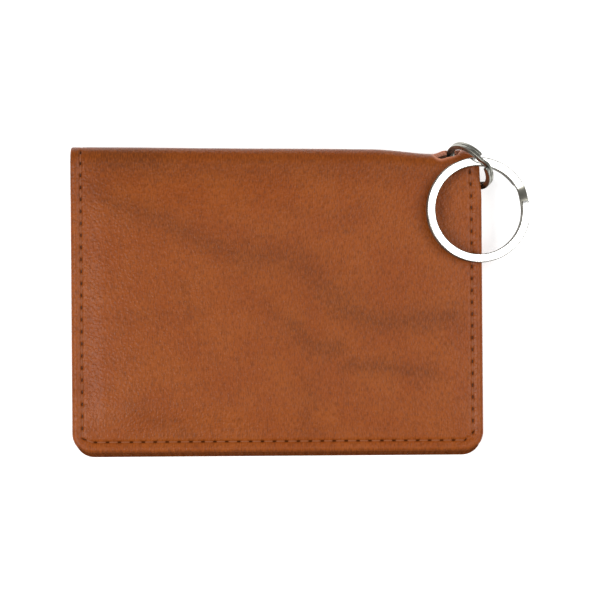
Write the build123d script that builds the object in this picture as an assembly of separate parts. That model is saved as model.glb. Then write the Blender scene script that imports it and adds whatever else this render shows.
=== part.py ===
"""Folded leather card wallet with a link ring and a split key ring.

The wallet lies closed on its rear cover.  +X runs along the fold to the ring end, +Y runs to the fold
and +Z rises out of the front cover.  The origin is the middle of the rear cover's outer face.
"""
from build123d import *
import math
import os

# ---------------------------------------------------------------- driving dimensions, in millimetres
WIDTH = 101.6               # along the fold, 4 inches
HEIGHT = 76.2               # bottom edge of the rear cover to the outside of the fold, 3 inches
THICKNESS = 9.0             # closed, from cover face to cover face
LEATHER = 1.1               # outer leather
HEM = 0.6                   # turned edge, skived thinner than the cover
HEM_WIDTH = 5.0
BOARD = 0.5                 # stiffener
BOARD_CORNER = 1.5
BOARD_GAP = 0.3             # between the board and the hem
LINING = 0.4
LAYER_INSET = 0.6           # inner layers stop this far inside the covers' edges
LINING_STEP = 2.0           # length over which the lining steps down to the leather
FRONT_SHORTER = 0.7         # the front cover stops this much above the rear cover's bottom edge
EDGE_CORNER = 6.3           # corner radius at the bottom of both covers
POCKET = 0.8                # one card pocket: leather and its turned top edge
POCKET_STEP = 8.0
POCKET_TOP = 20.0           # y of the top edge of the back pocket
POCKET_COUNT = 3
WINDOW_LEATHER = 0.6
WINDOW_FILM = 0.3
WINDOW_SIZE = (80.0, 44.0)  # clear opening of the identity card window
WINDOW_CORNER = 3.0
FILM_BORDER = 2.5           # the film's glued border round the opening
WINDOW_MIDDLE = -7.5        # y of the opening's middle
WINDOW_TOP = 22.0           # y of the frame's open edge, where the card goes in
SEAM_INSET = 2.55           # seam line to edge
THREAD_WIDTH = 0.55
THREAD_DEPTH = 0.25
STITCH_GAP = 0.7            # a seam thread stops this far from a pocket's edge
REAR_ARC_END = 10.0         # the fold in degrees from the rear cover (0) to the front cover (180)
SPINE_ARC = (20.0, 92.0)
FRONT_ARC_START = 100.0
RING_CORNER = 4.2           # fold corner cut off at the ring end
RING_RELIEF = 0.8           # the ring end's edge is drawn in this far where the link ring passes it
RELIEF_START = 25.5         # y where the edge starts to draw in
HOLE_X = (38.8, 45.6)       # oblong hole for the link ring, in the fold
HOLE_ARC = (80.0, 150.0)

LINK_OD = 13.5
LINK_RADIAL = 1.3
LINK_STACK = 1.7
LINK_TILT = 65.0            # rise of the link ring's plane
LINK_CENTRE = (47.85, 33.5, 8.9)
LINK_RAMP = (58.0, 84.0)    # degrees in the ring's own plane

KEY_OD = 26.0
KEY_RADIAL = 2.1
KEY_STACK = 2.2
KEY_TILT = 8.5
KEY_CENTRE = (49.7, 22.3, 10.9)
KEY_RAMP = (11.5, 28.7)
COIL_GAP = 0.1
COIL_END_GAP = 3.5          # degrees between the lower coil's free end and the ramp

# ---------------------------------------------------------------- worked out from them
HALF_WIDTH = WIDTH / 2
BOTTOM = -HEIGHT / 2
FOLD_RADIUS = THICKNESS / 2
FOLD_Y = HEIGHT / 2 - FOLD_RADIUS
FOLD_Z = THICKNESS / 2
FLAT_END = FOLD_Y - 0.6     # the inner sheets stop here, before the fold
BOARD_END = 24.0            # boards and hems stop here, so that the ring end stays thin
FRONT_BOTTOM = BOTTOM + FRONT_SHORTER
REAR_STACK = LEATHER + HEM + LINING             # z of the rear lining's face
POCKET_FACE = REAR_STACK + POCKET_COUNT * POCKET
FRONT_STACK = THICKNESS - REAR_STACK            # z of the front lining's face
FILM_Z = FRONT_STACK - WINDOW_FILM
FRAME_Z = FILM_Z - WINDOW_LEATHER
MARGIN = 5.0                # extra reach of cutting tools


def sheet(half_width, low, high, z_low, thickness, corner):
    """Flat sheet from y low to y high with both bottom corners rounded."""
    face = Pos(0, (low + high) / 2) * Rectangle(2 * half_width, high - low)
    bottom_corners = face.vertices().group_by(Axis.Y)[0]
    face = fillet(bottom_corners, corner)
    return Pos(0, 0, z_low) * extrude(face, amount=thickness)


def fold_point(radius, angle):
    """(y, z) on the fold, from 0 degrees at the rear cover to 180 at the front cover."""
    turn = math.radians(angle)
    return (FOLD_Y + radius * math.sin(turn), FOLD_Z - radius * math.cos(turn))


def fold_band(outer, thickness, start, end, x_low, x_high):
    """Curved strip of the fold between two angles."""
    middle = (start + end) / 2
    inner = outer - thickness
    outer_arc = ThreePointArc(fold_point(outer, start), fold_point(outer, middle), fold_point(outer, end))
    inner_arc = ThreePointArc(fold_point(inner, end), fold_point(inner, middle), fold_point(inner, start))
    outline = [
        outer_arc,
        Line(outer_arc @ 1, inner_arc @ 0),
        inner_arc,
        Line(inner_arc @ 1, outer_arc @ 0),
    ]
    face = Plane.YZ * make_face(outline)
    return Pos(x_low, 0, 0) * extrude(face, amount=x_high - x_low, dir=(1, 0, 0))


def ring_corner_tool():
    """Block that takes off the fold's corner at the ring end and draws the edge below it in."""
    top = HEIGHT / 2
    edge = HALF_WIDTH - RING_RELIEF
    outline = Polyline(
        (HALF_WIDTH - RING_CORNER - MARGIN, top + MARGIN),
        (HALF_WIDTH - RING_CORNER, top),
        (edge, top - RING_CORNER + RING_RELIEF),
        (edge, RELIEF_START + 2.0),
        (HALF_WIDTH, RELIEF_START),
        (HALF_WIDTH + MARGIN, RELIEF_START),
        (HALF_WIDTH + MARGIN, top + MARGIN),
        close=True,
    )
    return Pos(0, 0, -MARGIN) * extrude(make_face(outline), amount=THICKNESS + 2 * MARGIN)


def ring_hole_tool():
    """Curved block that opens the oblong ring hole in the fold."""
    return fold_band(FOLD_RADIUS + 1, LEATHER + 3, *HOLE_ARC, *HOLE_X)


def hem(low, z_low):
    """Turned edge on the left, bottom and right, lying on the inside of a cover."""
    outer = sheet(HALF_WIDTH - 0.3, low + 0.3, BOARD_END, z_low, HEM, EDGE_CORNER - 0.3)
    middle = (low + HEM_WIDTH + BOARD_END + MARGIN) / 2
    opening = Pos(0, middle, z_low) * Box(
        WIDTH - 2 * HEM_WIDTH, BOARD_END + MARGIN - low - HEM_WIDTH, 4 * HEM
    )
    return outer - opening


def seam_strip(half_width, low, high, z_low, corner):
    """Thread line along the left, bottom and right edges."""
    outer = sheet(half_width, low, high, z_low, THREAD_DEPTH, corner)
    inner = sheet(
        half_width - THREAD_WIDTH,
        low + THREAD_WIDTH,
        high + MARGIN,
        z_low - THREAD_DEPTH,
        3 * THREAD_DEPTH,
        corner - THREAD_WIDTH,
    )
    return outer - inner


def cover_seam(low, z_low):
    """Seam thread of a cover, in the groove of its outer face."""
    half = THREAD_WIDTH / 2
    return seam_strip(
        HALF_WIDTH - SEAM_INSET + half,
        low + SEAM_INSET - half,
        FLAT_END - 1.0,
        z_low,
        EDGE_CORNER - SEAM_INSET + half,
    )


def rear_cover():
    """Rear leather: flat panel, its hem and the first degrees of the fold."""
    panel = sheet(HALF_WIDTH, BOTTOM, FOLD_Y, 0, LEATHER, EDGE_CORNER)
    bend = fold_band(FOLD_RADIUS, LEATHER, 0, REAR_ARC_END, -HALF_WIDTH, HALF_WIDTH)
    body = panel + bend + hem(BOTTOM, LEATHER)
    return body - ring_corner_tool() - cover_seam(BOTTOM, 0)


def front_cover():
    """Front leather: flat panel, its hem and the upper half of the fold with the ring hole."""
    panel = sheet(HALF_WIDTH, FRONT_BOTTOM, FOLD_Y, THICKNESS - LEATHER, LEATHER, EDGE_CORNER)
    bend = fold_band(FOLD_RADIUS, LEATHER, FRONT_ARC_START, 180, -HALF_WIDTH, HALF_WIDTH)
    body = panel + bend + hem(FRONT_BOTTOM, THICKNESS - LEATHER - HEM)
    body = body - ring_corner_tool() - ring_hole_tool()
    return body - cover_seam(FRONT_BOTTOM, THICKNESS - THREAD_DEPTH)


def spine_strip():
    """Middle of the fold, in leather."""
    band = fold_band(FOLD_RADIUS, LEATHER, *SPINE_ARC, -HALF_WIDTH, HALF_WIDTH)
    return band - ring_corner_tool() - ring_hole_tool()


def spine_lining():
    """Lining inside the middle of the fold."""
    half = HALF_WIDTH - LAYER_INSET
    band = fold_band(FOLD_RADIUS - LEATHER, LINING, *SPINE_ARC, -half, half)
    corner = Pos(-LAYER_INSET, -LAYER_INSET, 0) * ring_corner_tool()
    return band - corner - ring_hole_tool()


def board(low, z_low):
    """Stiffener inside the hem."""
    inset = HEM_WIDTH + BOARD_GAP
    return sheet(HALF_WIDTH - inset, low + inset, BOARD_END - BOARD_GAP, z_low, BOARD, BOARD_CORNER)


def lining_profile(low, z_flat, z_fold):
    """Lining that lies over hem and board, then steps to the leather before the fold."""
    ramp_start = BOARD_END + LINING
    ramp_end = ramp_start + LINING_STEP
    outline = Polyline(
        (low, z_flat),
        (ramp_start, z_flat),
        (ramp_end, z_fold),
        (FLAT_END, z_fold),
        (FLAT_END, z_fold + LINING),
        (ramp_end, z_fold + LINING),
        (ramp_start, z_flat + LINING),
        (low, z_flat + LINING),
        close=True,
    )
    half = HALF_WIDTH - LAYER_INSET
    return Pos(-half, 0, 0) * extrude(Plane.YZ * make_face(outline), amount=2 * half, dir=(1, 0, 0))


def lining(low, z_flat, z_fold):
    """Lining of one half with rounded bottom corners."""
    trim = sheet(
        HALF_WIDTH - LAYER_INSET,
        low,
        FLAT_END + MARGIN,
        -MARGIN,
        THICKNESS + 2 * MARGIN,
        EDGE_CORNER - LAYER_INSET,
    )
    corner = Pos(-LAYER_INSET, -LAYER_INSET, 0) * ring_corner_tool()
    return (lining_profile(low, z_flat, z_fold) & trim) - corner


def card_pocket(index):
    """One stepped card pocket, counted from the back."""
    z_low = REAR_STACK + index * POCKET
    top = POCKET_TOP - index * POCKET_STEP
    return sheet(
        HALF_WIDTH - LAYER_INSET,
        BOTTOM + LAYER_INSET,
        top,
        z_low,
        POCKET,
        EDGE_CORNER - LAYER_INSET,
    )


def window_frame(z_low):
    """Leather frame round the identity card window."""
    height = WINDOW_LEATHER + WINDOW_FILM
    frame = sheet(
        HALF_WIDTH - LAYER_INSET,
        FRONT_BOTTOM + LAYER_INSET,
        WINDOW_TOP,
        z_low,
        height,
        EDGE_CORNER - LAYER_INSET,
    )
    clear = RectangleRounded(*WINDOW_SIZE, WINDOW_CORNER)
    opening = Pos(0, WINDOW_MIDDLE, z_low) * extrude(clear, amount=height)
    slot_low = FRONT_BOTTOM + HEM_WIDTH
    slot_height = WINDOW_TOP + MARGIN - slot_low
    slot = Pos(0, slot_low + slot_height / 2, z_low + height) * Box(
        WIDTH - 2 * HEM_WIDTH, slot_height, 2 * WINDOW_FILM
    )
    return frame - opening - slot


def window_film(z_low):
    """Clear film, wider than the opening by its glued border."""
    width, height = WINDOW_SIZE
    film = RectangleRounded(width + 2 * FILM_BORDER, height + 2 * FILM_BORDER, WINDOW_CORNER)
    return Pos(0, WINDOW_MIDDLE, z_low) * extrude(film, amount=WINDOW_FILM)


def inner_seam(low, high, z_low):
    """Seam thread on the inner face of one half, up to y high."""
    half = THREAD_WIDTH / 2
    return seam_strip(
        HALF_WIDTH - SEAM_INSET + half,
        low + SEAM_INSET - half,
        high - STITCH_GAP,
        z_low,
        EDGE_CORNER - SEAM_INSET + half,
    )


def pocket_seam():
    """Second thread of the rear seam, on the pockets: one run on each of their steps."""
    front_top = POCKET_TOP - (POCKET_COUNT - 1) * POCKET_STEP
    threads = [inner_seam(BOTTOM, front_top, POCKET_FACE)]
    for step in range(POCKET_COUNT):
        low = front_top + step * POCKET_STEP + STITCH_GAP
        high = min(low + POCKET_STEP, BOARD_END) - 2 * STITCH_GAP
        surface = POCKET_FACE - (step + 1) * POCKET
        for side in (-1, 1):
            run = Box(THREAD_WIDTH, high - low, THREAD_DEPTH)
            x = side * (HALF_WIDTH - SEAM_INSET)
            threads.append(Pos(x, (low + high) / 2, surface + THREAD_DEPTH / 2) * run)
    return Compound(children=threads)


def coil(outer_diameter, radial, z_low, thickness, start, end):
    """Part of a flat ring between two angles, counted anticlockwise."""
    outer = outer_diameter / 2
    inner = outer - radial
    middle = (start + end) / 2
    outer_arc = ThreePointArc(*[polar(outer, angle) for angle in (start, middle, end)])
    inner_arc = ThreePointArc(*[polar(inner, angle) for angle in (end, middle, start)])
    outline = [
        outer_arc,
        Line(outer_arc @ 1, inner_arc @ 0),
        inner_arc,
        Line(inner_arc @ 1, outer_arc @ 0),
    ]
    return Pos(0, 0, z_low) * extrude(make_face(outline), amount=thickness, dir=(0, 0, 1))


def polar(radius, angle):
    """Point in the ring's own plane."""
    return (radius * math.cos(math.radians(angle)), radius * math.sin(math.radians(angle)))


def split_ring(outer_diameter, radial, stack, ramp):
    """Flat wire wound twice: two coils and the short ramp that joins them."""
    ramp_low, ramp_high = ramp
    wire = (stack - COIL_GAP) / 2
    upper = coil(outer_diameter, radial, COIL_GAP / 2, wire, ramp_high, 360 + ramp_low)
    lower = coil(outer_diameter, radial, -stack / 2, wire, ramp_high + COIL_END_GAP, 360 + ramp_low)
    return upper + lower + coil_ramp(outer_diameter, radial, stack, wire, ramp_low, ramp_high)


def coil_ramp(outer_diameter, radial, stack, wire, ramp_low, ramp_high):
    """Sloping wire from the lower coil at ramp_low to the upper coil at ramp_high."""
    mean = (outer_diameter - radial) / 2
    half_run = mean * math.sin(math.radians((ramp_high - ramp_low) / 2))
    slope = (stack / 2 + COIL_GAP / 2) / (2 * half_run)
    reach = half_run + COIL_GAP
    low = -stack / 2 - COIL_GAP * slope
    high = COIL_GAP / 2 + COIL_GAP * slope
    outline = Polyline(
        (-reach, high),
        (reach, low),
        (reach, low + wire),
        (-reach, high + wire),
        close=True,
    )
    direction = (ramp_low + ramp_high) / 2
    slanted = extrude(Plane.XZ * make_face(outline), amount=outer_diameter, dir=(0, 1, 0))
    slanted = Rot(0, 0, direction - 90) * slanted
    zone = coil(outer_diameter, radial, -stack / 2, stack, ramp_low, ramp_high)
    return slanted & zone


def link_ring():
    """Small split ring through the fold, standing on a slant across the corner."""
    along = (math.sqrt(0.5), -math.sqrt(0.5), 0)
    rise = math.radians(LINK_TILT)
    lean = -math.sin(rise) * math.sqrt(0.5)
    plane = Plane(origin=LINK_CENTRE, x_dir=along, z_dir=(lean, lean, math.cos(rise)))
    return plane.location * split_ring(LINK_OD, LINK_RADIAL, LINK_STACK, LINK_RAMP)


def key_ring():
    """Split key ring lying over the front cover, a little higher at its left."""
    tilt = math.radians(KEY_TILT)
    plane = Plane(
        origin=KEY_CENTRE,
        x_dir=(math.cos(tilt), 0, -math.sin(tilt)),
        z_dir=(math.sin(tilt), 0, math.cos(tilt)),
    )
    return plane.location * split_ring(KEY_OD, KEY_RADIAL, KEY_STACK, KEY_RAMP)


nodes = {
    "rear_cover": rear_cover(),
    "rear_board": board(BOTTOM, LEATHER),
    "rear_lining": lining(BOTTOM + LAYER_INSET, LEATHER + HEM, LEATHER),
    "card_pocket_back": card_pocket(0),
    "card_pocket_middle": card_pocket(1),
    "card_pocket_front": card_pocket(2),
    "pocket_seam_thread": pocket_seam(),
    "rear_seam_thread": cover_seam(BOTTOM, 0),
    "spine_strip": spine_strip(),
    "spine_lining": spine_lining(),
    "front_cover": front_cover(),
    "front_board": board(FRONT_BOTTOM, THICKNESS - LEATHER - BOARD),
    "front_lining": lining(FRONT_BOTTOM + LAYER_INSET, FRONT_STACK, FRONT_STACK + HEM),
    "id_window_film": window_film(FILM_Z),
    "id_window_frame": window_frame(FRAME_Z),
    "window_seam_thread": inner_seam(FRONT_BOTTOM, WINDOW_TOP, FRAME_Z - THREAD_DEPTH),
    "front_seam_thread": cover_seam(FRONT_BOTTOM, THICKNESS - THREAD_DEPTH),
    "link_ring": link_ring(),
    "key_ring": key_ring(),
}

if __name__ == "__main__":
    os.makedirs("parts", exist_ok=True)
    for name, shape in nodes.items():
        export_step(shape, f"parts/{name}.step")
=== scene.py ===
"""Looks of a folded leather card wallet with two split rings, built round its CAD frame."""
import math

import bmesh
import bpy
import numpy as np
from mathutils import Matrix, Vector, noise


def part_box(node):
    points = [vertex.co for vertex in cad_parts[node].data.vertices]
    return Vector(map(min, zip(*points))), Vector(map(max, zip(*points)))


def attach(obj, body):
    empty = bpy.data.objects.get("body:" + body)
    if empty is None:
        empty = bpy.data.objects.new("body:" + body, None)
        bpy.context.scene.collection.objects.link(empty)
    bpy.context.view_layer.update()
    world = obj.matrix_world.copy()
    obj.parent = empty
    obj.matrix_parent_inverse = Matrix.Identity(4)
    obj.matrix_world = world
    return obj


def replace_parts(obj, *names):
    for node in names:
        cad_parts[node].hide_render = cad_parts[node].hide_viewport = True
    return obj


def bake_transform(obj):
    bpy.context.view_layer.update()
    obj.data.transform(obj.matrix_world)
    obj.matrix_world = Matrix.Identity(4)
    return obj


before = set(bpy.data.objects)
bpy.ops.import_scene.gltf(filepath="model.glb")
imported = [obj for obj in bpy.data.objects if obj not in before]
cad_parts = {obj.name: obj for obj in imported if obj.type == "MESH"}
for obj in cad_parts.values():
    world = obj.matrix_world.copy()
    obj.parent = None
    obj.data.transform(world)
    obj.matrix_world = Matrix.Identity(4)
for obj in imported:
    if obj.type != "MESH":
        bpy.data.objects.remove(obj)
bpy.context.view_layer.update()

MM = 0.001

# ------------------------------------------------------------------ sizes from the frame, in millimetres


def box_mm(node):
    """Lowest and highest corner of a CAD node, in millimetres."""
    low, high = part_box(node)
    return low / MM, high / MM


REAR_LOW, REAR_HIGH = box_mm("rear_cover")
FRONT_LOW, FRONT_HIGH = box_mm("front_cover")
HALF_WIDTH = REAR_HIGH.x
THICKNESS = FRONT_HIGH.z
MIDDLE_Z = THICKNESS / 2
FOLD_RADIUS = THICKNESS / 2
FOLD_TOP = box_mm("spine_strip")[1].y
FOLD_Y = FOLD_TOP - FOLD_RADIUS

LEATHER = 1.1
LINING = 0.4
LAYER_INSET = 0.6           # how far the inner layers stay back from the outer leather's edge
EDGE_THICKNESS = 1.7        # cover and turned hem together
HEM_WIDTH = 5.0
EDGE_CORNER = 5.0
SEAM_INSET = 2.55
SEAM_RISE = 0.3             # how much further in the seam runs along the bottom edge
PITCH = 2.95                # stitch length
GRID = PITCH / 8
CREST_SPLIT = 76.0          # degrees from the rear cover where the two outer leathers meet

LEAN = 0.008                # sideways shift of the upper edge for each millimetre of height
TAPER = 0.0095              # how much taller the left end is, and how much lower the right end

HOLE_X = 42.2               # oblong ring hole, seen along the fold
HOLE_ANGLE = 65.0           # its middle, in degrees of the fold from the front cover
HOLE_HALF = (3.4, 2.75)     # half its length, and half its height along the leather
LINING_HOLE_SHIFT = -4.0    # the hole in the lining lies lower, in degrees, and is wider all round
LINING_HOLE_SPARE = 0.5
RIM_PALE_BAND = 0.4              # width of the pale band round the hole: raw-leather tone with a painted highlight

FULLNESS = 0.06             # how much squarer than round the fold is
CORNER_DRAW = 3.4           # height of the fold's corner that is drawn in at the ring end
END_DRAW = 0.45             # how far the layers below that corner are drawn in
PRESSED = 1.05              # how far the fold is pressed down beside the ring
SPREAD = 0.0033             # how much wider the wallet is at its fold
STRETCH = 1.003             # its height against the CAD

CROWN_FRONT = 0.95          # how far the front cover is crowned, and how much less at its right
CROWN_FALL = 0.65
CROWN_REAR = 0.15
VALLEY_DEPTH = 0.24         # of the seam's groove
NEEDLE_DEPTH = 0.35
NEEDLE_SIZE = (0.7, 0.22)   # along and across the seam
EDGE_BAND = 3.8             # the grid is fine this far in from a free edge
FINE_STEP = 0.2
STITCH_START, STITCH_SHARE = 0.15, 0.7    # where a stitch shows between its two needle holes

POCKET_NODES = ("card_pocket_back", "card_pocket_middle", "card_pocket_front")

CAMERA_DISTANCE = 700.0
CAMERA_ELEVATION = 86.5
CAMERA_TARGET = (5.74, 0.17, THICKNESS)
VIEW_WIDTH = 148.15
SENSOR_WIDTH = 36.0
FLOOR_REACH = 3.0           # metres
FLOOR_LEVEL = -0.0003
# soft boxes: name, place and size in metres, power in watts
LIGHTS = [
    ("side_left", (-0.43, -0.12, 0.67), (0.24, 0.42), 3.8),
    ("key_right", (0.36, 0.06, 0.66), (0.42, 0.42), 2.6),
]


def smooth(low, high, value):
    """0 below low, 1 above high, smooth between, for arrays."""
    t = np.clip((value - low) / (high - low), 0, 1)
    return t * t * (3 - 2 * t)


def bump(value, centre, width):
    """Soft bump of height 1."""
    return np.exp(-(((value - centre) / width) ** 2))


# ------------------------------------------------------------------ shape of the whole wallet


def settle(points):
    """Leans every layer a little and makes it taller at its left, as the hand-made wallet isn't square.

    The fold is a little squarer than round, the layers are drawn in at the ring end, and the fold is
    pressed down beside the ring."""
    x, y, z = points[..., 0].copy(), points[..., 1].copy(), points[..., 2].copy()
    angle = np.arctan2(np.clip(y - FOLD_Y, 0, None), np.abs(z - MIDDLE_Z))
    fuller = FULLNESS * np.sin(2 * angle) ** 2
    y = y + fuller * np.clip(y - FOLD_Y, 0, None)
    points[..., 2] = z + fuller * (z - MIDDLE_Z)
    corner = np.clip(y - (FOLD_TOP - CORNER_DRAW), 0, CORNER_DRAW) * np.clip((x - 36.0) / 13.6, 0, 1)
    relief = END_DRAW * smooth(25.0, 33.0, y) * np.clip((x - 44.0) / 6.8, 0, 1)
    pressed = smooth(24.0, 39.0, x) * (1 - smooth(40.0, 44.0, x))
    y_pressed = y - PRESSED * pressed * smooth(27.0, FOLD_TOP, y)
    points[..., 0] = (x - corner - relief) * (1 + SPREAD * y / FOLD_TOP) - LEAN * y
    points[..., 1] = y_pressed * (STRETCH - TAPER * x / HALF_WIDTH)
    return points


def low_noise(points, size, seed):
    """Smooth noise at points, an array of (..., 2) in millimetres, with features of that size."""
    flat = points.reshape(-1, 2) / size
    values = [noise.noise(Vector((a, b, seed))) for a, b in flat]
    return np.array(values).reshape(points.shape[:-1])


class Sheet:
    """A closed leather or fabric sheet on a grid: u runs along the fold, v runs from the bottom edge up.

    side is +1 for the front half and -1 for the rear half.  height is the outer face's height above the
    wallet's middle plane, and arc is the stretch of the fold in degrees that the sheet goes round."""

    def __init__(self, side, half, bottom, corner, height, thickness, top=None, arc=0.0, step=GRID):
        self.side, self.half, self.bottom, self.corner = side, half, bottom, corner
        self.height, self.thickness, self.arc = height, thickness, arc
        self.top = FOLD_Y if top is None else top
        self.flat_length = self.top - bottom
        self.length = self.flat_length + math.radians(arc) * height
        self.step = step
        # inner_face is the material of the inner faces; within dark_edge of the bottom edge the outer face
        # takes it too, a strip of painted shade
        self.inner_face, self.dark_edge = 0, 0.32
        self.edge = thickness

    def lines(self, length, both):
        """Grid line positions: close together at a rounded free edge and at the seam, even elsewhere."""
        radius = self.edge / 2
        close = [radius * (1 - math.cos(math.radians(a))) for a in (0, 16, 32, 48, 64, 78)]
        close += [d for d in np.arange(radius, EDGE_BAND, FINE_STEP) if d < length / 3]
        start = close[-1] + self.step * 0.7
        stop = length - start if both else length
        count = max(2, round((stop - start) / self.step))
        lines = close + list(np.linspace(start, stop, count))
        if both:
            lines += [length - d for d in reversed(close)]
        return np.array(lines)

    def grid(self):
        """u, v arrays and the distance from the nearest free edge."""
        u = self.lines(2 * self.half, True) - self.half
        v = self.lines(self.length, self.arc == 0)
        self.u, self.v = np.meshgrid(u, v)
        distance = np.minimum(self.half - np.abs(self.u), self.v)
        if self.arc == 0:
            distance = np.minimum(distance, self.length - self.v)
        self.distance = np.maximum(distance, 0)

    def rounded(self, u, v):
        """Turns the square bottom corners into round ones, keeping distances from the edge."""
        a = np.clip((np.abs(u) - (self.half - self.corner)) / self.corner, 0, None)
        b = np.clip((self.corner - v) / self.corner, 0, None)
        radius = np.maximum(a, b)
        inside = (a > 0) & (b > 0)
        safe_a, safe_b = np.where(a > 0, a, 1), np.where(b > 0, b, 1)
        angle = np.where(a >= b, math.pi / 4 * b / safe_a, math.pi / 2 - math.pi / 4 * a / safe_b)
        x = np.where(inside, radius * np.cos(angle), a) * self.corner
        y = np.where(inside, radius * np.sin(angle), b) * self.corner
        corner_u = np.sign(u) * (self.half - self.corner + x)
        return np.where(a > 0, corner_u, u), np.where(b > 0, self.corner - y, v)

    def place(self, u, v, lift=0.0):
        """Points on the sheet's outer face, raised by lift along the outward normal."""
        u, v = self.rounded(np.asarray(u, float), np.asarray(v, float))
        angle = np.clip(v - self.flat_length, 0, None) / self.height if self.arc else np.zeros_like(v)
        normal_y, normal_z = np.sin(angle), np.cos(angle)
        y = self.bottom + np.minimum(v, self.flat_length) + self.height * normal_y + lift * normal_y
        z = self.base(u, v) + self.height * normal_z + lift * normal_z
        points = np.stack([u, y, MIDDLE_Z + self.side * z], axis=-1)
        return settle(points)

    def base(self, u, v):
        """Extra height of the sheet's path above its plane."""
        return np.zeros_like(v)

    def relief(self):
        """Height of the outer face over the plain sheet."""
        return np.zeros_like(self.v)

    def depth(self):
        """Thickness at every grid point."""
        return np.full_like(self.v, self.thickness)

    def hole_distance(self, u, v):
        """Distance from the rim of the hole, negative inside it, or None."""
        return None

    def build(self, name, material, rim=None, inner=None):
        """The finished mesh object."""
        self.grid()
        depth = self.depth()
        radius = depth / 2
        inset = np.clip(radius - self.distance, 0, None)
        drop = radius - np.sqrt(np.clip(radius**2 - inset**2, 0, None))
        edge = self.distance < 1e-6
        relief = np.where(edge, 0, self.relief() * smooth(0, 0.5, self.distance))
        self.snap_hole()
        upper = self.place(self.u, self.v, relief - drop)
        lower = self.place(self.u, self.v, drop - depth)
        return mesh_of(self, name, upper, lower, edge, material, rim, inner)

    def snap_hole(self):
        """Marks the grid points inside the hole and moves the ones next to it onto its rim."""
        gap = self.hole_distance(self.u, self.v)
        self.inside = np.zeros(self.u.shape, bool)
        if gap is None:
            return
        self.inside = gap < -0.15 * self.step
        near = np.abs(gap) < 0.9 * self.step
        small = 0.01
        slope_u = (self.hole_distance(self.u + small, self.v) - gap) / small
        slope_v = (self.hole_distance(self.u, self.v + small) - gap) / small
        cells = self.inside[:-1, :-1] & self.inside[1:, :-1] & self.inside[:-1, 1:] & self.inside[1:, 1:]
        touch = np.zeros(self.u.shape, bool)
        for a in (0, 1):
            for b in (0, 1):
                part = touch[a:touch.shape[0] - 1 + a, b:touch.shape[1] - 1 + b]
                part |= ~cells
        rim = touch & (self.inside | near)
        self.u = np.where(rim, self.u - gap * slope_u, self.u)
        self.v = np.where(rim, self.v - gap * slope_v, self.v)


def mesh_of(sheet, name, upper, lower, edge, material, rim, inner):
    """Closed mesh from an upper and a lower grid that share their free edges."""
    rows, columns = sheet.u.shape
    count = rows * columns
    top = np.arange(count).reshape(rows, columns)
    bottom = np.where(edge, top, top + count)
    hollow = sheet.inside
    removed = hollow[:-1, :-1] & hollow[1:, :-1] & hollow[:-1, 1:] & hollow[1:, 1:]
    faces, kinds = [], []
    for r in range(rows - 1):
        for c in range(columns - 1):
            if removed[r, c]:
                continue
            faces.append((top[r, c], top[r, c + 1], top[r + 1, c + 1], top[r + 1, c]))
            faces.append((bottom[r, c], bottom[r + 1, c], bottom[r + 1, c + 1], bottom[r, c + 1]))
            # near the bottom edge the outer face takes the dark inner material: painted shade
            strip = sheet.inner_face if sheet.v[r + 1, c] < sheet.dark_edge else 0
            kinds += [strip, sheet.inner_face]
    if sheet.arc:
        for c in range(columns - 1):
            quad = [top[-1, c], top[-1, c + 1], bottom[-1, c + 1], bottom[-1, c]]
            faces.append(tuple(dict.fromkeys(quad)))
    kinds += [0] * (len(faces) - len(kinds))
    for r in range(rows - 1):
        for c in range(columns - 1):
            if not removed[r, c]:
                continue
            for (dr, dc), (a, b) in RIM_SIDES.items():
                if not removed[r + dr, c + dc]:
                    p, q = (r + a[0], c + a[1]), (r + b[0], c + b[1])
                    faces.append((top[p], top[q], bottom[q], bottom[p]))
                    kinds.append(1 if rim else 0)
    points = np.concatenate([upper.reshape(-1, 3), lower.reshape(-1, 3)]) * MM
    uv = np.stack([sheet.u, sheet.v], axis=-1).reshape(-1, 2) / 100
    shades = {shade: getattr(sheet, shade, None) for shade in ("mark", "needle", "pale")}
    uv = np.concatenate([uv, uv])
    return finish_mesh(name, points, faces, [material, rim, inner], kinds, uv, shades)


# step to each neighbouring cell, and the two corners of the side that they share
RIM_SIDES = {
    (0, -1): ((1, 0), (0, 0)),
    (0, 1): ((0, 1), (1, 1)),
    (-1, 0): ((0, 0), (0, 1)),
    (1, 0): ((1, 1), (1, 0)),
}


def finish_mesh(name, points, faces, materials, face_materials=None, uv=None, shades=None, sharp=55):
    """Mesh object without loose points, smooth shaded, with outward normals."""
    used = np.unique(np.concatenate([np.array(f) for f in faces]))
    renumber = np.full(len(points), -1)
    renumber[used] = np.arange(len(used))
    mesh = bpy.data.meshes.new(name)
    mesh.from_pydata(points[used].tolist(), [], [tuple(renumber[list(f)]) for f in faces])
    for material in materials:
        if material:
            mesh.materials.append(material)
    if face_materials:
        mesh.polygons.foreach_set("material_index", face_materials)
    if uv is not None:
        corners = np.zeros(len(mesh.loops), int)
        mesh.loops.foreach_get("vertex_index", corners)
        layer = mesh.uv_layers.new(name="flat")
        layer.data.foreach_set("uv", uv[used][corners].ravel())
    for shade, values in (shades or {}).items():
        if values is not None:
            attribute = mesh.attributes.new(shade, "FLOAT", "POINT")
            both = np.concatenate([values.ravel(), values.ravel()])
            attribute.data.foreach_set("value", both[used].astype(np.float32))
    outward(mesh)
    mesh.shade_smooth()
    mesh.set_sharp_from_angle(angle=math.radians(sharp))
    obj = bpy.data.objects.new(name, mesh)
    bpy.context.scene.collection.objects.link(obj)
    return obj


def outward(mesh):
    """Makes all faces point outwards."""
    work = bmesh.new()
    work.from_mesh(mesh)
    bmesh.ops.recalc_face_normals(work, faces=work.faces)
    work.to_mesh(mesh)
    work.free()


# ------------------------------------------------------------------ materials


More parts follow.
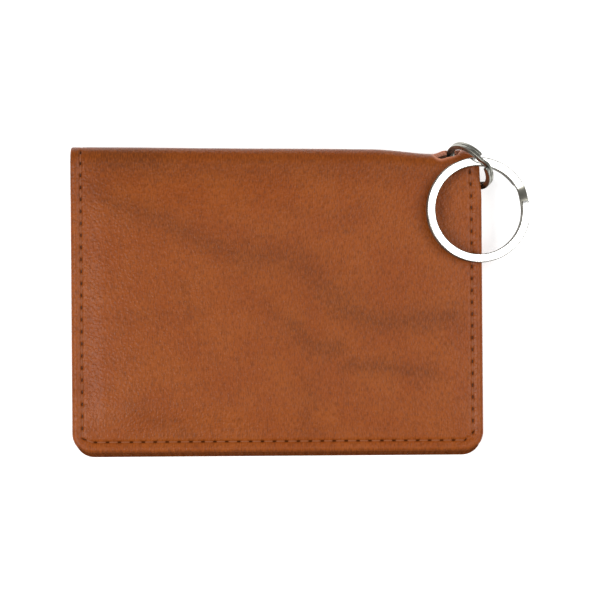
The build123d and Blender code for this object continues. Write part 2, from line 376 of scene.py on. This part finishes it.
class Graph:
    """A node material with one Principled shader."""

    def __init__(self, name, **settings):
        self.material = bpy.data.materials.new(name)
        self.material.use_nodes = True
        self.tree = self.material.node_tree
        self.shader = self.tree.nodes["Principled BSDF"]
        for key, value in settings.items():
            self.shader.inputs[key.replace("_", " ")].default_value = value

    def node(self, kind, inputs=None, **settings):
        """New node; inputs maps socket names or numbers to values or sockets."""
        made = self.tree.nodes.new("ShaderNode" + kind)
        for key, value in settings.items():
            setattr(made, key, value)
        for key, value in (inputs or {}).items():
            self.put(made.inputs[key], value)
        return made

    def put(self, socket, value):
        if isinstance(value, bpy.types.NodeSocket):
            self.tree.links.new(value, socket)
        else:
            socket.default_value = value

    def set(self, name, value):
        self.put(self.shader.inputs[name], value)

    def math(self, operation, a, b=0.0):
        return self.node("Math", {0: a, 1: b}, operation=operation).outputs[0]

    def mix(self, factor, a, b):
        """Colour mix."""
        made = self.node("Mix", data_type="RGBA")
        self.put(made.inputs[0], factor)
        self.put(made.inputs[6], a)
        self.put(made.inputs[7], b)
        return made.outputs[2]

    def span(self, value, low, high, to_low=0.0, to_high=1.0):
        """Smooth map of a value from one range to another."""
        inputs = {"Value": value, "From Min": low, "From Max": high, "To Min": to_low, "To Max": to_high}
        return self.node("MapRange", inputs, interpolation_type="SMOOTHSTEP").outputs[0]

    def flat_mm(self, scale=(1, 1, 1)):
        """The sheet's own flat coordinates in millimetres, times scale."""
        coordinates = self.node("TexCoord").outputs["UV"]
        sizes = [100 * s for s in scale]
        return self.node("Mapping", {"Vector": coordinates, "Scale": sizes}).outputs[0]

    def noise(self, vector, scale, detail=2.0, rough=0.5):
        inputs = {"Vector": vector, "Scale": scale, "Detail": detail, "Roughness": rough}
        return self.node("TexNoise", inputs).outputs["Fac"]

    def bump(self, height, depth_mm, strength=1.0, normal=None):
        inputs = {"Height": height, "Distance": depth_mm * MM, "Strength": strength}
        if normal:
            inputs["Normal"] = normal
        return self.node("Bump", inputs).outputs[0]


def srgb(red, green, blue):
    """Scene colour of an 8-bit screen colour."""
    channels = [c / 255 for c in (red, green, blue)]
    linear = [c / 12.92 if c < 0.04045 else ((c + 0.055) / 1.055) ** 2.4 for c in channels]
    return (*linear, 1.0)


def leather_material(name, base, dark, light, grain=1.0, roughness=0.36):
    """Leather with pebble grain, fine streaks along the hide, soft clouds, natural marks, painted shade
    and a painted highlight.
    """
    g = Graph(name, Specular_IOR_Level=0.2)
    mm = g.flat_mm()
    streak = g.noise(g.flat_mm((3.4, 0.8, 1)), 1.0, 3.0, 0.6)
    broad_streak = g.noise(g.flat_mm((0.9, 0.28, 1)), 1.0, 3.0, 0.6)
    cloud = g.noise(mm, 0.085, 3.0, 0.55)
    mark = g.node("Attribute", attribute_name="mark").outputs["Fac"]
    needle = g.node("Attribute", attribute_name="needle").outputs["Fac"]
    pale = g.node("Attribute", attribute_name="pale").outputs["Fac"]
    colour = g.mix(g.math("MULTIPLY", g.span(cloud, 0.35, 0.65), 0.6), base, light)
    colour = g.mix(g.math("MULTIPLY", g.span(broad_streak, 0.45, 0.7), 0.28), colour, dark)
    colour = g.mix(g.math("MULTIPLY", g.span(streak, 0.45, 0.72), 0.62), colour, dark)
    colour = g.mix(g.math("MULTIPLY", g.span(streak, 0.48, 0.25), 0.8), colour, light)
    # natural marks with painted shade at the fold, bottom edges and creases, broken up by the streaks
    broken = g.math("MULTIPLY", mark, g.span(streak, 0.3, 0.62, 0.5, 1.4))
    colour = g.mix(broken, colour, dark)
    raw_tone_and_highlight, hole_shadow = srgb(212, 142, 112), srgb(52, 24, 10)
    # pale raw-leather tone with a painted highlight round the ring hole, then painted shadow in the needle
    # holes
    colour = g.mix(pale, colour, raw_tone_and_highlight)
    colour = g.mix(needle, colour, hole_shadow)
    drift = g.node("TexNoise", {"Vector": mm, "Scale": 0.9}).outputs["Color"]
    wander = g.node("VectorMath", {0: mm, 1: drift})
    pebble = g.node("TexVoronoi", {"Vector": wander.outputs[0], "Scale": 1.25}, feature="SMOOTH_F1")
    pebble.inputs["Smoothness"].default_value = 0.3
    crease = g.span(pebble.outputs["Distance"], 0.2, 0.7, 1.0, 0.0)
    pores = g.noise(mm, 4.0, 2.0, 0.6)
    height = g.math("ADD", g.math("MULTIPLY", crease, 0.8), g.math("MULTIPLY", pores, 0.3))
    height = g.math("ADD", height, g.math("MULTIPLY", streak, 0.25))
    g.set("Base Color", colour)
    worn = g.span(pores, 0.3, 0.7, roughness - 0.04, roughness + 0.08)
    g.set("Roughness", g.math("ADD", worn, g.span(mark, 0.55, 0.9, 0.0, 0.45)))
    g.set("Normal", g.bump(height, 0.055 * grain))
    return g.material


def raw_edge_material():
    """Undyed cut leather: pale and fibrous."""
    g = Graph("raw_leather_edge", Roughness=0.85, Specular_IOR_Level=0.15)
    position = g.node("TexCoord").outputs["Object"]
    fibre = g.noise(position, 3500.0, 3.0, 0.65)
    g.set("Base Color", g.mix(g.span(fibre, 0.35, 0.7), srgb(222, 158, 132), srgb(190, 118, 88)))
    g.set("Normal", g.bump(fibre, 0.06))
    return g.material


def turned_edge_and_shade_material():
    """Inner faces of the covers and pockets, and a dark strip along their bottom edges that is painted
    shade.
    """
    g = Graph("turned_edge_and_shade", Roughness=0.8, Specular_IOR_Level=0.0)
    fibre = g.noise(g.flat_mm((1.5, 0.5, 1)), 1.0, 3.0, 0.6)
    g.set("Base Color", g.mix(g.span(fibre, 0.35, 0.65), srgb(92, 44, 16), srgb(112, 58, 26)))
    g.set("Normal", g.bump(fibre, 0.03))
    return g.material


def lining_material():
    """Fine woven lining."""
    g = Graph("woven_lining", Roughness=0.8, Specular_IOR_Level=0.2, Sheen_Weight=0.25)
    mm = g.flat_mm()
    threads = {"Vector": mm, "Scale": 1.1, "Distortion": 0.4}
    warp = g.node("TexWave", threads, bands_direction="X").outputs["Fac"]
    weft = g.node("TexWave", threads, bands_direction="Y").outputs["Fac"]
    weave = g.math("MULTIPLY", warp, weft)
    cloud = g.noise(mm, 0.4, 3.0)
    colour = g.mix(weave, srgb(100, 64, 42), srgb(142, 98, 68))
    g.set("Base Color", g.mix(g.math("MULTIPLY", cloud, 0.4), colour, srgb(118, 80, 55)))
    g.set("Normal", g.bump(weave, 0.05))
    return g.material


def stiffener_material():
    """Matte reinforcement sheet."""
    g = Graph("stiffener_sheet", Roughness=0.75, Specular_IOR_Level=0.3)
    position = g.node("TexCoord").outputs["Object"]
    fibre = g.noise(position, 900.0, 4.0, 0.7)
    g.set("Base Color", g.mix(fibre, srgb(120, 112, 100), srgb(96, 88, 78)))
    g.set("Normal", g.bump(fibre, 0.02))
    return g.material


def film_material():
    """Clear window film with faint ripples."""
    g = Graph("clear_film", Roughness=0.08, IOR=1.46, Alpha=0.13)
    ripple = g.noise(g.flat_mm(), 0.12, 2.0)
    g.set("Base Color", g.mix(ripple, (0.3, 0.33, 0.35, 1), (0.4, 0.43, 0.45, 1)))
    g.set("Normal", g.bump(ripple, 0.25))
    return g.material


def thread_material():
    """Waxed twisted thread."""
    g = Graph("waxed_thread", Roughness=0.55, Specular_IOR_Level=0.35)
    position = g.node("TexCoord").outputs["Object"]
    fibre = g.noise(position, 4200.0, 2.0, 0.6)
    g.set("Base Color", g.mix(fibre, srgb(126, 66, 30), srgb(156, 88, 46)))
    g.set("Normal", g.bump(fibre, 0.05))
    return g.material


def metal_material(name, light, dark, roughness, scratch):
    """Plated steel wire with fine drawing lines and slight tarnish."""
    g = Graph(name, Metallic=1.0)
    position = g.node("TexCoord").outputs["Object"]
    cloud = g.noise(position, 260.0, 3.0, 0.6)
    line = g.noise(position, 5200.0, 2.0, 0.6)
    g.set("Base Color", g.mix(g.span(cloud, 0.42, 0.72), light, dark))
    g.set("Roughness", g.span(cloud, 0.3, 0.75, roughness, roughness + 0.14))
    g.set("Normal", g.bump(line, scratch))
    return g.material


# ------------------------------------------------------------------ outer leather

# natural dark strokes in the hide of the front cover: path in millimetres, width, depth
STROKES = [
    ([(-45, 27), (-35, 22), (-27, 19), (-18, 15), (-9, 11)], 3.2, 0.42),
    ([(-9, 11), (-2, 11.5), (6.5, 9.5), (12, 3), (18, -2)], 4.4, 0.4),
    ([(15, -2), (21.5, -4.5), (29.5, -5.5), (36, -4.5), (43, -4)], 3.0, 0.5),
    ([(4, -6), (9, -11.5), (15, -12)], 2.4, 0.5),
    ([(17.5, -16), (25.5, -16.2), (37.5, -18)], 2.2, 0.45),
    ([(8, -20.5), (7, -33)], 2.2, 0.25),
    ([(-23.5, 4), (-22, -1), (-18.5, -3.5)], 1.4, 0.22),
    ([(-38, -5.5), (-20.5, -3.5)], 2.0, 0.15),
    ([(-42, 36), (-30, 35)], 4.0, 0.4),
    ([(-36, -27), (-22, -33)], 2.6, 0.22),
    ([(2, 23.5), (6.5, 22)], 1.8, 0.2),
    ([(16, 19.5), (22.5, 24.5)], 2.4, 0.15),
    ([(-3, 0), (3, -8)], 3.0, 0.2),
]


def stroke_depth(x, y):
    """How dark the natural marks are at points of the front cover."""
    total = np.zeros_like(x)
    for path, width, depth in STROKES:
        nearest = np.full_like(x, 1e9)
        for (ax, ay), (bx, by) in zip(path, path[1:]):
            dx, dy = bx - ax, by - ay
            t = np.clip(((x - ax) * dx + (y - ay) * dy) / (dx * dx + dy * dy), 0, 1)
            nearest = np.minimum(nearest, np.hypot(x - ax - t * dx, y - ay - t * dy))
        total = np.maximum(total, 0.85 * depth * np.exp(-((nearest / width) ** 1.6)))
    return total


class Cover(Sheet):
    """Outer leather of one half: crowned inside its stitches, with a rolled edge and part of the fold."""

    def __init__(self, side, bottom, arc):
        super().__init__(side, HALF_WIDTH, bottom, EDGE_CORNER, THICKNESS / 2, LEATHER, arc=arc)
        self.edge = EDGE_THICKNESS

    def depth(self):
        hem = 1 - smooth(HEM_WIDTH, HEM_WIDTH + 0.8, self.distance)
        hem = hem * (1 - smooth(22.0 - self.bottom, 27.0 - self.bottom, self.v))
        return LEATHER + (EDGE_THICKNESS - LEATHER) * hem

    def relief(self):
        d, u, v = self.distance, self.u, self.v
        into_fold = smooth(self.flat_length - 14, self.flat_length + 4, v)
        over_fold = 1 - smooth(self.flat_length + 1, self.flat_length + 5, v)
        seam_end = smooth(self.flat_length - 1.5, self.flat_length, v) * (u > 0)
        full = CROWN_FRONT - CROWN_FALL * smooth(-20.0, 40.0, u) if self.side > 0 else CROWN_REAR
        from_side = self.half - np.abs(u)
        rise = 0.5 * smooth(2.5, 8.5, from_side) + 0.5 * smooth(2.5, 18.0, from_side)
        crown = full * rise * smooth(2.7, 13.0, v) * (1 - into_fold)
        to_seam = np.minimum(self.half - np.abs(u), v - SEAM_RISE)
        valley = -VALLEY_DEPTH * bump(to_seam, SEAM_INSET, 0.5) * (1 - seam_end) * over_fold
        bead = 0.14 * bump(d, 1.25, 0.55) * over_fold
        points = np.stack([u, v], axis=-1)
        wave = 0.07 * low_noise(points, 17.0, 3.1 + self.side) + 0.03 * low_noise(points, 6.0, 7.3)
        self.mark = self.shade()
        return crown + valley + bead + wave * smooth(2.0, 6.0, d) - NEEDLE_DEPTH * self.needle

    def shade(self):
        """Darkness of the leather: natural marks, painted shade towards the fold and a painted shade band
        along the bottom edge.
        """
        x, y = self.rounded(self.u, self.v)
        y = y + self.bottom
        wobble = np.stack([x, y], axis=-1)
        x = x + 0.8 * low_noise(wobble, 9.0, 1.7)
        y = y + 0.8 * low_noise(wobble, 9.0, 4.9)
        if self.side > 0:
            marks = stroke_depth(x, y)
        else:
            marks = stroke_depth(y * 1.3 + 6, 0.6 * x - 4) * 0.8
        # painted shade: darker towards and into the fold
        fold = 0.3 * smooth(self.flat_length - 8, self.flat_length + 1, self.v)
        # painted shade: a dark band along the bottom edge, wider on the rear cover, for the shaded gap
        # between the covers
        reach = 1.0 if self.side > 0 else 2.8
        painted_edge_shade = 0.9 * (1 - smooth(0.1, reach, self.v))
        return np.clip(marks + fold + painted_edge_shade, 0, 1)

    def grid(self):
        """The sheet's grid, and the needle holes as an array that is 1 at their middles."""
        super().grid()
        self.needle = np.zeros_like(self.u)
        holes = seam_points(self, *COVER_SEAMS[self.side])
        along = np.gradient(np.array(holes), axis=0)
        along /= np.linalg.norm(along, axis=1)[:, None]
        for (u, v), (a, b) in zip(holes, along):
            near = (np.abs(self.u - u) < 1.5) & (np.abs(self.v - v) < 1.5)
            du, dv = self.u[near] - u, self.v[near] - v
            spread = ((du * a + dv * b) / NEEDLE_SIZE[0]) ** 2 + ((du * b - dv * a) / NEEDLE_SIZE[1]) ** 2
            self.needle[near] = np.maximum(self.needle[near], np.exp(-spread**1.5))


def ring_hole(sheet, u, v, angle=HOLE_ANGLE, spare=0.0):
    """Distance from the rim of the oblong ring hole in the fold, at that sheet's depth."""
    points = sheet.place(u, np.clip(v, sheet.flat_length - 3, None))
    x = points[..., 0] - HOLE_X
    middle = sheet.flat_length + math.radians(angle) * sheet.height
    across = (v - middle) * FOLD_RADIUS / sheet.height
    along = np.clip(np.abs(x) - (HOLE_HALF[0] - HOLE_HALF[1]), 0, None)
    return np.hypot(along, across) - HOLE_HALF[1] - spare


class HoledCover(Cover):
    """The front leather, with the oblong ring hole in its fold and a pale rim round it: raw-leather tone
    with a painted highlight.
    """

    def relief(self):
        gap = self.hole_distance(self.u, self.v)
        self.pale = 0.85 * np.exp(-((np.clip(gap, 0, None) / RIM_PALE_BAND) ** 2))
        return super().relief()

    def hole_distance(self, u, v):
        return ring_hole(self, u, v)


# how far each seam climbs on its left and right, in millimetres of leather past the flat part
COVER_SEAMS = {1: (6.0, -1.5), -1: (-1.5, -1.5)}


def seam_points(sheet, left_extra, right_extra):
    """Needle holes along the left, bottom and right of a sheet, as (u, v) on its grid."""
    inset = SEAM_INSET
    radius = sheet.corner - inset
    left, right = sheet.flat_length + left_extra, sheet.flat_length + right_extra
    turn = radius * math.pi / 2
    stretches = [left - sheet.corner, turn, 2 * (sheet.half - sheet.corner), turn, right - sheet.corner]
    count = round(sum(stretches) / PITCH)
    pitch = sum(stretches) / count
    points = [seam_point(sheet, k * pitch, stretches, left, inset, radius) for k in range(count + 1)]
    return [(u, v + SEAM_RISE * (1 - smooth(inset, sheet.corner + 1, v))) for u, v in points]


def seam_point(sheet, run, stretches, left, inset, radius):
    """Grid position after a run along the seam from its top left end."""
    down, turn, across, _, up = stretches
    if run <= down:
        return (inset - sheet.half, left - run)
    run -= down
    share = sheet.corner - inset
    if run <= turn:
        return corner_grid(sheet, -1, run / turn, share)
    run -= turn
    if run <= across:
        return (run - sheet.half + sheet.corner, inset)
    run -= across
    if run <= turn:
        return corner_grid(sheet, 1, 1 - run / turn, share)
    return (sheet.half - inset, sheet.corner + run - turn)


def corner_grid(sheet, sign, part, share):
    """Grid position on the square loop that becomes the round corner: part 0 is the side, 1 the bottom."""
    across = share * min(1.0, 2 * (1 - part))
    down = share * min(1.0, 2 * part)
    return (sign * (sheet.half - sheet.corner + across), sheet.corner - down)


# ------------------------------------------------------------------ stitches


def stitches(name, sheet, holes, material, thread=0.21, arch=0.16, base=0.0):
    """One short arched thread between each pair of needle holes."""
    points, faces = [], []
    sides, rings = 8, 9
    for (u0, v0), (u1, v1) in zip(holes, holes[1:]):
        t = np.linspace(STITCH_START, STITCH_START + STITCH_SHARE, rings)
        rise = np.sin(np.pi * (t - STITCH_START) / STITCH_SHARE).clip(0) ** 0.5
        height = base + arch * rise - 0.9 * np.abs(2 * t - 1) ** 8
        u, v = u0 + (u1 - u0) * t, v0 + (v1 - v0) * t
        centre = sheet.place(u, v, height)
        above = sheet.place(u, v, height + 1)
        up = above - centre
        forward = np.gradient(centre, axis=0)
        forward /= np.linalg.norm(forward, axis=1)[:, None]
        side = np.cross(forward, up)
        side /= np.linalg.norm(side, axis=1)[:, None]
        width = thread * (1 - 0.75 * np.abs(2 * t - 1) ** 6)[:, None]
        first = len(points)
        for k in range(sides):
            a = 2 * math.pi * k / sides
            ring = centre + width * (side * math.cos(a) + 0.8 * up * math.sin(a))
            points.extend(ring)
        for k in range(sides):
            a, b = first + k * rings, first + (k + 1) % sides * rings
            faces += [(a + r, a + r + 1, b + r + 1, b + r) for r in range(rings - 1)]
        faces.append(tuple(first + k * rings for k in range(sides)))
        faces.append(tuple(first + (sides - 1 - k) * rings + rings - 1 for k in range(sides)))
    obj = finish_mesh(name, np.array(points) * MM, faces, [material])
    return obj


# ------------------------------------------------------------------ inner layers


class Lining(Sheet):
    """Lining of one half: over the hem and board, then down to the leather before it enters the fold."""

    def __init__(self, side, bottom, arc):
        outer = THICKNESS / 2 - LEATHER - 0.03
        half, corner = HALF_WIDTH - LAYER_INSET, EDGE_CORNER - LAYER_INSET
        super().__init__(side, half, bottom + LAYER_INSET, corner, outer, LINING, arc=arc, step=0.55)

    def base(self, u, v):
        return -0.57 * (1 - smooth(24.4 - self.bottom, 26.6 - self.bottom, v))


class HoledLining(Lining):
    """The front lining, open behind the ring hole."""

    def hole_distance(self, u, v):
        return ring_hole(self, u, v, HOLE_ANGLE + LINING_HOLE_SHIFT, LINING_HOLE_SPARE)


class Pocket(Sheet):
    """Card pocket with a turned top edge and a creased line below it."""

    def __init__(self, index):
        low, high = box_mm(POCKET_NODES[index])
        thickness = high.z - low.z - 0.04
        half, corner = HALF_WIDTH - LAYER_INSET, EDGE_CORNER - LAYER_INSET
        bottom, height = REAR_LOW.y + LAYER_INSET, high.z - MIDDLE_Z
        self.index = index
        super().__init__(1, half, bottom, corner, height, thickness, top=high.y, step=0.7)

    def relief(self):
        below_top = self.length - self.v
        crease = -0.12 * bump(below_top, 2.2, 0.26)
        points = np.stack([self.u, self.v], axis=-1)
        wave = 0.05 * low_noise(points, 19.0, 11.0 + self.index)
        # painted shade in the crease below the top edge and along the top edge itself
        self.mark = 0.5 * bump(below_top, 2.2, 0.3) + 0.5 * (1 - smooth(0.3, 0.9, below_top))
        return (crease + wave) * smooth(0.3, 1.2, self.distance)


class Window(Sheet):
    """Leather frame with a rounded opening for the identity card."""

    def __init__(self):
        low, high = box_mm("id_window_frame")
        self.opening_low, self.opening_high = box_mm("id_window_film")
        half, corner = HALF_WIDTH - LAYER_INSET, EDGE_CORNER - LAYER_INSET
        super().__init__(-1, half, low.y, corner, MIDDLE_Z - low.z, 0.58, top=high.y, step=0.7)

    def hole_distance(self, u, v):
        border, radius = 2.5, 3.0
        middle = (self.opening_low + self.opening_high) / 2
        half = (self.opening_high - self.opening_low) / 2
        x = np.abs(u - middle.x) - (half.x - border - radius)
        y = np.abs(v + self.bottom - middle.y) - (half.y - border - radius)
        outside = np.hypot(np.clip(x, 0, None), np.clip(y, 0, None))
        return outside + np.minimum(np.maximum(x, y), 0) - radius

    def relief(self):
        gap = self.hole_distance(self.u, self.v)
        below_top = self.length - self.v
        line = bump(gap, 1.6, 0.2) + bump(below_top, 2.0, 0.2)
        # painted shade along the grooved line round the opening and the one below the top
        self.mark = 0.35 * line
        return (0.05 * bump(gap, 0.7, 0.6) - 0.08 * line) * smooth(0.2, 0.8, self.distance)


class Film(Sheet):
    """Clear film behind the window."""

    def __init__(self):
        low, high = box_mm("id_window_film")
        super().__init__(-1, high.x, low.y, 3.0, MIDDLE_Z - low.z - 0.02, 0.22, top=high.y, step=1.5)

    def relief(self):
        return 0.03 * low_noise(np.stack([self.u, self.v], axis=-1), 14.0, 5.0)


# ------------------------------------------------------------------ rings


def split_ring(name, node, outer, radial, stack, ramp, centre, x_axis, z_axis, materials):
    """Flat wire with rounded edges wound twice, with a short ramp between its two coils.

    outer is the ring's diameter, radial the wire's width, stack the height of both coils together and
    ramp the start and end of the ramp in degrees.  The second material is for the flanks."""
    gap, overlap_cut = 0.1, 3.5
    bevel = 0.11 * radial
    wire = (stack - gap) / 2
    low, high = ramp
    full = 360 - (high - low)
    turns = np.concatenate([np.linspace(0, full, 150), np.linspace(full, 360, 22)[1:-1]])
    turns = np.concatenate([turns, np.linspace(360, 360 + full - overlap_cut, 150)])
    level = (wire + gap) / 2 * (1 - 2 * smooth(full - 1, 361, turns))
    angles = np.radians(low - turns)
    mean = (outer - radial) / 2
    outline = ring_section(radial, wire, bevel)
    x_axis, z_axis = Vector(x_axis).normalized(), Vector(z_axis).normalized()
    y_axis = z_axis.cross(x_axis)
    axes = np.array([x_axis, y_axis, z_axis])
    points = []
    shrink = np.ones_like(turns)
    shrink[[1, -2]] = 0.9
    shrink[[0, -1]] = 0.72
    for angle, z, s in zip(angles, level, shrink):
        for r, h in outline:
            radius = mean + r * s
            local = np.array([radius * math.cos(angle), radius * math.sin(angle), z + h * s])
            points.append(np.array(centre) + local @ axes)
    count = len(outline)
    side = radial / 2 - 0.9 * bevel
    flank = [abs(outline[k][0] + outline[(k + 1) % count][0]) / 2 > side for k in range(count)]
    faces, kinds = [], []
    for i in range(len(turns) - 1):
        for k in range(count):
            a, b = i * count + k, i * count + (k + 1) % count
            faces.append((a, b, b + count, a + count))
            kinds.append(int(flank[k] or full - 1 < turns[i] < 361))
    faces.append(tuple(range(count)))
    faces.append(tuple(len(points) - 1 - k for k in range(count)))
    obj = finish_mesh(name, np.array(points) * MM, faces, materials, kinds + [1, 1], sharp=30)
    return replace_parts(obj, node)


def ring_section(width, height, bevel):
    """Rounded rectangle of the wire's cross section."""
    outline = []
    for sx, sy, start in ((1, 1, 0), (-1, 1, 90), (-1, -1, 180), (1, -1, 270)):
        for step in range(5):
            a = math.radians(start + step * 22.5)
            x = sx * (width / 2 - bevel) + bevel * math.cos(a)
            y = sy * (height / 2 - bevel) + bevel * math.sin(a)
            outline.append((x, y))
    return outline


# ------------------------------------------------------------------ making the pieces


def make_leather():
    """The two outer leathers and the two linings, which meet in the fold."""
    hide = leather_material("tan_hide", srgb(143, 68, 16), srgb(101, 48, 10), srgb(155, 80, 25))
    raw = raw_edge_material()
    lining = lining_material()
    # dark matte inner faces, also laid along the bottom edges as painted shade
    turned = turned_edge_and_shade_material()
    crest = 180 - CREST_SPLIT

    front_sheet = HoledCover(1, FRONT_LOW.y, crest)
    front_sheet.inner_face = 2
    front = front_sheet.build("outer_leather_front", hide, raw, turned)
    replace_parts(front, "front_cover", "spine_strip")
    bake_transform(front)

    rear_sheet = Cover(-1, REAR_LOW.y, CREST_SPLIT)
    rear_sheet.inner_face = 1
    rear = rear_sheet.build("outer_leather_rear", hide, None, turned)
    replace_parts(rear, "rear_cover")
    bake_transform(rear)

    front_lining = HoledLining(1, FRONT_LOW.y, crest).build("lining_front", lining)
    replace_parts(front_lining, "front_lining")
    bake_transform(front_lining)

    rear_lining = Lining(-1, REAR_LOW.y, CREST_SPLIT).build("lining_rear", lining)
    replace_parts(rear_lining, "rear_lining", "spine_lining")
    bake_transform(rear_lining)
    return front_sheet, rear_sheet, turned


def make_inside(turned):
    """Pockets, window frame and film."""
    tones = srgb(140, 76, 36), srgb(96, 50, 22), srgb(152, 88, 46)
    inner = leather_material("inner_hide", *tones, grain=0.55, roughness=0.46)
    pockets = []
    for index, node in enumerate(POCKET_NODES):
        sheet = Pocket(index)
        # the dark inner material also covers a 1.3 mm strip along the pocket's bottom edge: painted shade
        sheet.inner_face, sheet.dark_edge = 1, 1.3
        piece = sheet.build(node + "_leather", inner, None, turned)
        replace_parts(piece, node)
        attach(piece, "rear_half")
        pockets.append(sheet)
    window = Window()
    frame_piece = window.build("window_frame_leather", inner, inner)
    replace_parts(frame_piece, "id_window_frame")
    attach(frame_piece, "front_half")
    film = Film().build("window_film_clear", film_material())
    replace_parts(film, "id_window_film")
    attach(film, "front_half")
    return pockets, window


def make_stitches(front, rear, pockets, window):
    """Four seams of separate stitches: both outer faces, the pockets and the window frame."""
    thread = thread_material()
    holes = seam_points(front, *COVER_SEAMS[1])
    outer_front = stitches("front_seam_stitches", front, holes, thread, base=-0.4)
    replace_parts(outer_front, "front_seam_thread")
    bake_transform(outer_front)
    holes = seam_points(rear, *COVER_SEAMS[-1])
    outer_rear = stitches("rear_seam_stitches", rear, holes, thread, base=-0.4)
    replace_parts(outer_rear, "rear_seam_thread")
    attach(outer_rear, "rear_half")
    holes = seam_points(window, -1.2, -1.2)
    inside = stitches("window_seam_stitches", window, holes, thread, base=-0.05)
    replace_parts(inside, "window_seam_thread")
    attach(inside, "front_half")
    front_pocket = pockets[2]
    holes = seam_points(front_pocket, -1.2, -1.2)
    inner = stitches("pocket_seam_stitches", front_pocket, holes, thread, base=-0.05)
    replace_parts(inner, "pocket_seam_thread")
    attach(inner, "rear_half")


def make_rings():
    """Link ring and key ring, in the places of their CAD solids."""
    root = math.sqrt(0.5)
    rise, tilt = math.radians(65), math.radians(8.5)
    dark = metal_material("dark_nickel", srgb(168, 167, 158), srgb(120, 119, 110), 0.26, 0.006)
    bright = metal_material("polished_steel_wire", srgb(222, 222, 219), srgb(202, 201, 198), 0.2, 0.002)
    # darker copy of the steel for the key ring's flanks, ramp and ends: painted shade
    flank = metal_material("steel_flank_painted_shade", srgb(146, 144, 134), srgb(108, 106, 98), 0.3, 0.004)
    lean = -math.sin(rise) * root
    link = split_ring(
        "link_ring_wire", "link_ring", 13.5, 1.3, 1.7, (58, 84), (47.85, 33.5, 8.9),
        (root, -root, 0), (lean, lean, math.cos(rise)), [dark, dark],
    )
    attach(link, "link")
    key = split_ring(
        "key_ring_wire", "key_ring", 26.0, 2.1, 2.2, (11.5, 28.7), (49.7, 22.3, 10.9),
        (math.cos(tilt), 0, -math.sin(tilt)), (math.sin(tilt), 0, math.cos(tilt)), [bright, flank],
    )
    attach(key, "key")


def finish_cad_nodes():
    """The hidden stiffeners keep their CAD shape and get a finished material."""
    sheet = stiffener_material()
    for node in ("front_board", "rear_board"):
        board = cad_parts[node]
        board.data.materials.clear()
        board.data.materials.append(sheet)


# ------------------------------------------------------------------ studio


def area_light(name, place, size, energy):
    """White soft box at place, pointing at the middle of the wallet."""
    data = bpy.data.lights.new(name, "AREA")
    data.shape, data.size, data.size_y = "RECTANGLE", size[0], size[1]
    data.energy = energy
    light = bpy.data.objects.new(name, data)
    light.location = place
    light.rotation_mode = "QUATERNION"
    light.rotation_quaternion = (-Vector(place)).to_track_quat("-Z", "Y")
    bpy.context.scene.collection.objects.link(light)


def make_studio():
    """White floor, soft boxes and camera."""
    scene = bpy.context.scene
    scene.view_settings.view_transform = "Standard"
    scene.view_settings.look = "None"
    world = bpy.data.worlds.new("studio")
    scene.world = world
    world.use_nodes = True
    background = world.node_tree.nodes["Background"]
    background.inputs[0].default_value = (1, 1, 1, 1)
    background.inputs[1].default_value = 0.3

    mesh = bpy.data.meshes.new("floor")
    reach = FLOOR_REACH
    corners = [(-reach, -reach, 0), (reach, -reach, 0), (reach, reach, 0), (-reach, reach, 0)]
    mesh.from_pydata(corners, [], [(0, 1, 2, 3)])
    floor = bpy.data.objects.new("floor", mesh)
    floor.location.z = FLOOR_LEVEL
    g = Graph("white_floor", Roughness=0.9, Specular_IOR_Level=0.0)
    g.set("Base Color", (0.93, 0.93, 0.93, 1))
    g.set("Emission Color", (1, 1, 1, 1))
    g.set("Emission Strength", 0.5)
    mesh.materials.append(g.material)
    scene.collection.objects.link(floor)

    for light in LIGHTS:
        area_light(*light)

    camera_data = bpy.data.cameras.new("camera")
    camera = bpy.data.objects.new("camera", camera_data)
    elevation = math.radians(CAMERA_ELEVATION)
    back = Vector((0, -math.cos(elevation), math.sin(elevation)))
    camera.location = (Vector(CAMERA_TARGET) + back * CAMERA_DISTANCE) * MM
    camera.rotation_mode = "QUATERNION"
    camera.rotation_quaternion = (-back).to_track_quat("-Z", "Y")
    camera_data.sensor_width = SENSOR_WIDTH
    camera_data.lens = SENSOR_WIDTH * CAMERA_DISTANCE / VIEW_WIDTH
    camera_data.clip_start, camera_data.clip_end = 0.01, 20
    scene.collection.objects.link(camera)
    scene.camera = camera


front_cover_sheet, rear_cover_sheet, turned_edge_and_shade = make_leather()
pocket_sheets, window_sheet = make_inside(turned_edge_and_shade)
make_stitches(front_cover_sheet, rear_cover_sheet, pocket_sheets, window_sheet)
make_rings()
finish_cad_nodes()
make_studio()
